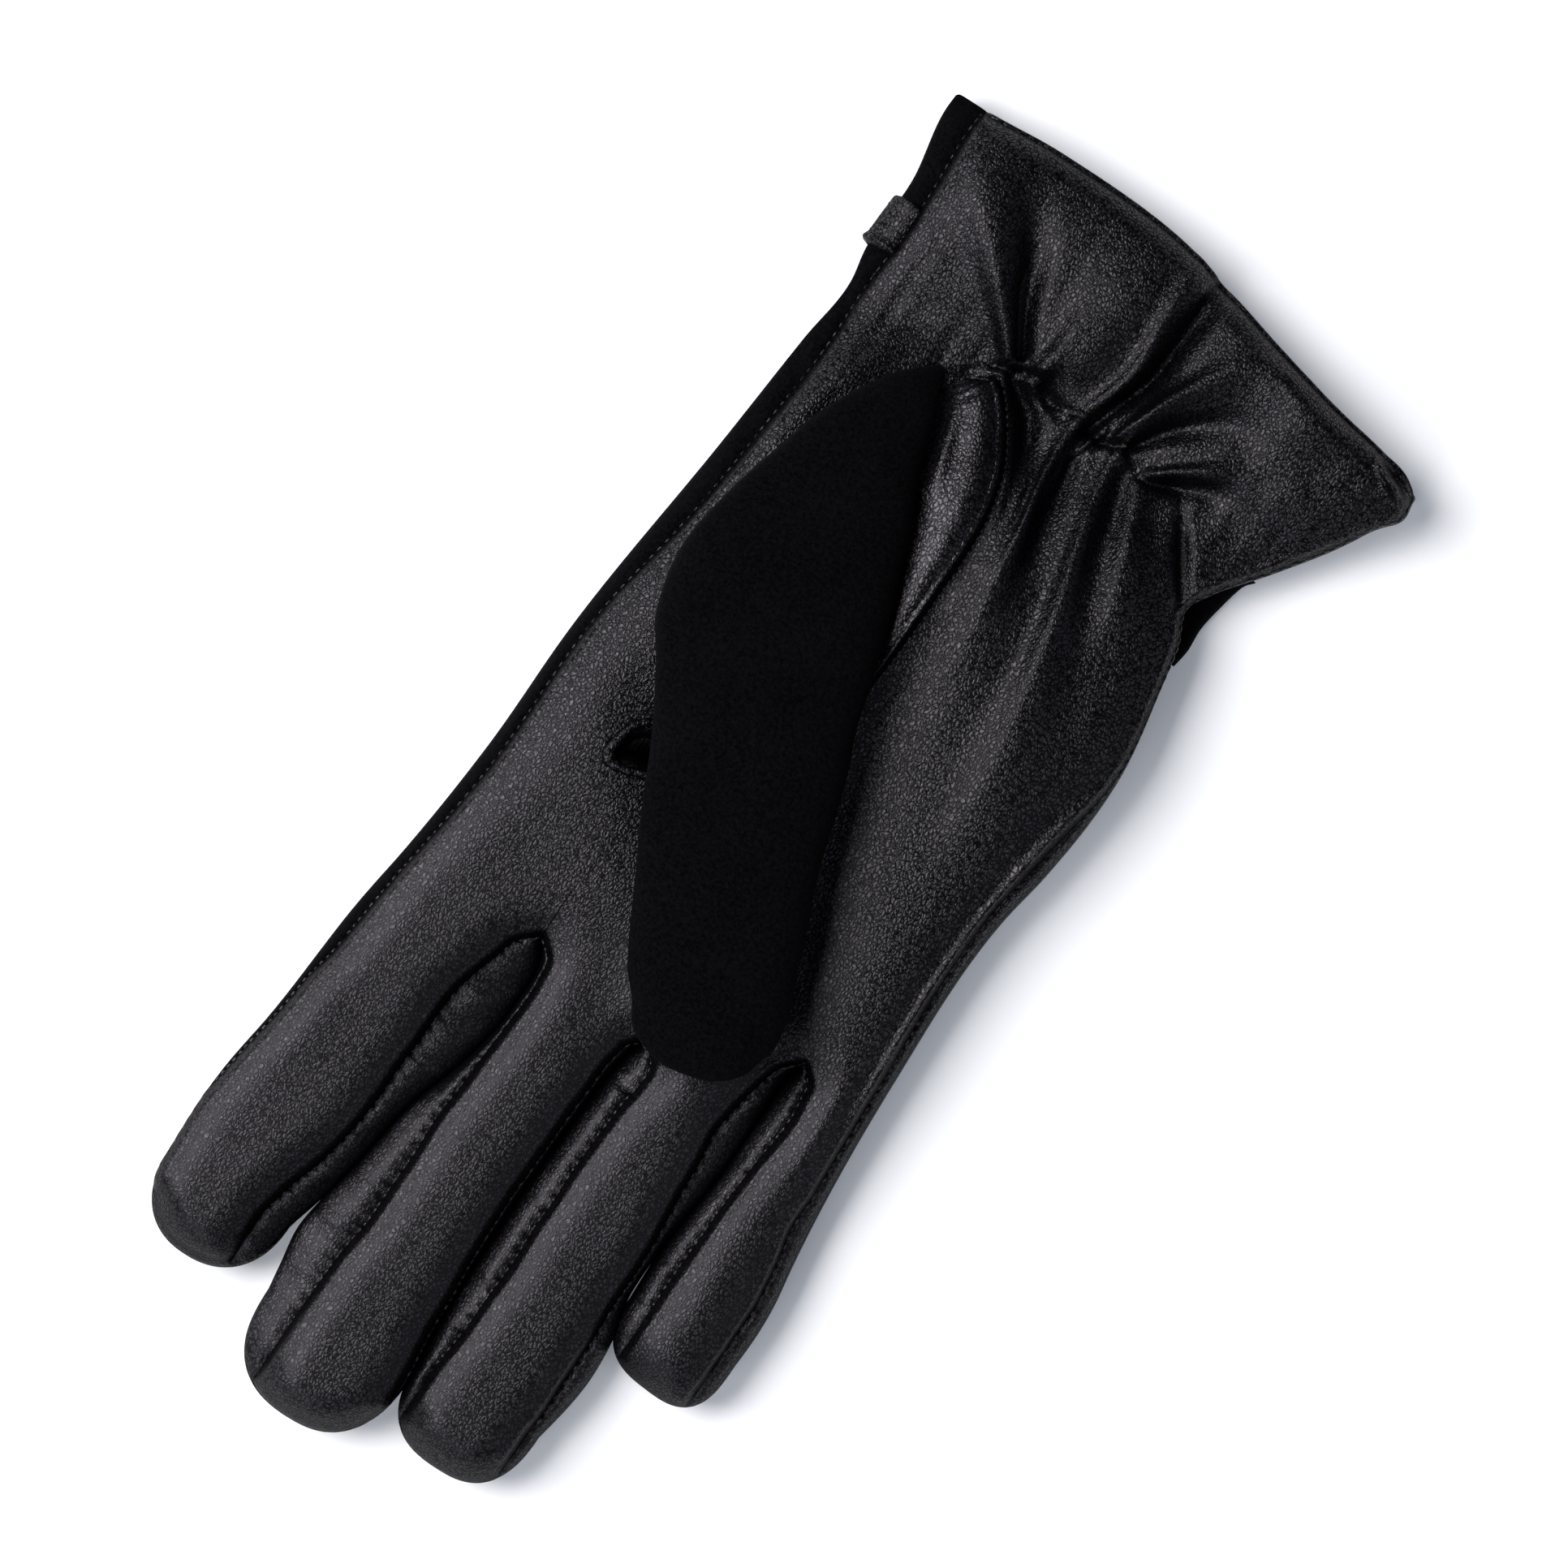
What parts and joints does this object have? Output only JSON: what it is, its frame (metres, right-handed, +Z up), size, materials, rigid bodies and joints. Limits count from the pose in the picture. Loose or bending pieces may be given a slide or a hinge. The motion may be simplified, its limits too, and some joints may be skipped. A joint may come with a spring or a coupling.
{
  "type": "dress glove",
  "caption": "Right-hand leather dress glove lying palm up: suede back, fourchettes, set-in thumb, elastic wrist, flared hemmed cuff and side strap.",
  "frame": {"origin": "centre of the glove's bounding box at its underside, which is the suede back lying on the table", "axes": "+Y from the cuff to the fingertips, +X towards the index finger, +Z up out of the palm"},
  "size_m": [0.1153, 0.2519, 0.03],
  "materials": {
    "leather": "black nappa with a fine pebbled grain, semi-matt",
    "suede": "black suede with a short matt nap",
    "lining_knit": "black fine knit, matt",
    "elastic": "black woven elastic tape, matt"
  },
  "bodies": {
    "hand": {"back_panel": "suede", "cuff_hem_back": "suede", "cuff_hem_palm": "leather", "cuff_strap": "leather", "hand_lining": "lining_knit", "palm_panel": "leather", "side_strip": "leather", "thumb_base": "suede", "thumb_base_lining": "lining_knit", "thumb_gusset": "leather", "web_index_middle": "leather", "web_middle_ring": "leather", "web_ring_little": "leather", "wrist_elastic": "elastic"},
    "thumb": {"thumb_back": "suede", "thumb_lining": "lining_knit", "thumb_palm": "leather"},
    "index_base": {"index_base_back": "suede", "index_base_lining": "lining_knit", "index_base_palm": "leather", "index_base_wall_little_side": "leather"},
    "index_tip": {"index_tip_back": "suede", "index_tip_lining": "lining_knit", "index_tip_palm": "leather", "index_tip_wall_little_side": "leather"},
    "middle_base": {"middle_base_back": "suede", "middle_base_lining": "lining_knit", "middle_base_palm": "leather", "middle_base_wall_index_side": "leather", "middle_base_wall_little_side": "leather"},
    "middle_tip": {"middle_tip_back": "suede", "middle_tip_lining": "lining_knit", "middle_tip_palm": "leather", "middle_tip_wall_index_side": "leather", "middle_tip_wall_little_side": "leather"},
    "ring_base": {"ring_base_back": "suede", "ring_base_lining": "lining_knit", "ring_base_palm": "leather", "ring_base_wall_index_side": "leather", "ring_base_wall_little_side": "leather"},
    "ring_tip": {"ring_tip_back": "suede", "ring_tip_lining": "lining_knit", "ring_tip_palm": "leather", "ring_tip_wall_index_side": "leather", "ring_tip_wall_little_side": "leather"},
    "little_base": {"little_base_back": "suede", "little_base_lining": "lining_knit", "little_base_palm": "leather", "little_base_wall_index_side": "leather", "little_base_wall_little_side": "leather"},
    "little_tip": {"little_tip_back": "suede", "little_tip_lining": "lining_knit", "little_tip_palm": "leather", "little_tip_wall_index_side": "leather", "little_tip_wall_little_side": "leather"}
  },
  "joints": [
    {"name": "index_knuckle", "type": "hinge", "parent": "hand", "child": "index_base", "pos_m": [0.03972, 0.03799, 0.01456], "axis": [0.994, -0.1097, 0], "range_deg": [0, 60]},
    {"name": "index_middle_knuckle", "type": "hinge", "parent": "index_base", "child": "index_tip", "pos_m": [0.04257, 0.06383, 0.01408], "axis": [0.994, -0.1097, 0], "range_deg": [0, 60]},
    {"name": "middle_knuckle", "type": "hinge", "parent": "hand", "child": "middle_base", "pos_m": [0.0142, 0.042, 0.01473], "axis": [1, 0, 0], "range_deg": [0, 60]},
    {"name": "middle_middle_knuckle", "type": "hinge", "parent": "middle_base", "child": "middle_tip", "pos_m": [0.0142, 0.07, 0.01422], "axis": [1, 0, 0], "range_deg": [0, 60]},
    {"name": "ring_knuckle", "type": "hinge", "parent": "hand", "child": "ring_base", "pos_m": [-0.0105, 0.042, 0.0145], "axis": [1, 0, 0], "range_deg": [0, 60]},
    {"name": "ring_middle_knuckle", "type": "hinge", "parent": "ring_base", "child": "ring_tip", "pos_m": [-0.0105, 0.068, 0.01398], "axis": [1, 0, 0], "range_deg": [0, 60]},
    {"name": "little_knuckle", "type": "hinge", "parent": "hand", "child": "little_base", "pos_m": [-0.0313, 0.0315, 0.01369], "axis": [1, 0, 0], "range_deg": [0, 60]},
    {"name": "little_middle_knuckle", "type": "hinge", "parent": "little_base", "child": "little_tip", "pos_m": [-0.0313, 0.053, 0.01302], "axis": [1, 0, 0], "range_deg": [0, 60]},
    {"name": "thumb_lift", "type": "hinge", "parent": "hand", "child": "thumb", "pos_m": [0.013, -0.0137, 0.03], "axis": [0.9092, 0.4163, 0], "range_deg": [0, 60]}
  ]
}
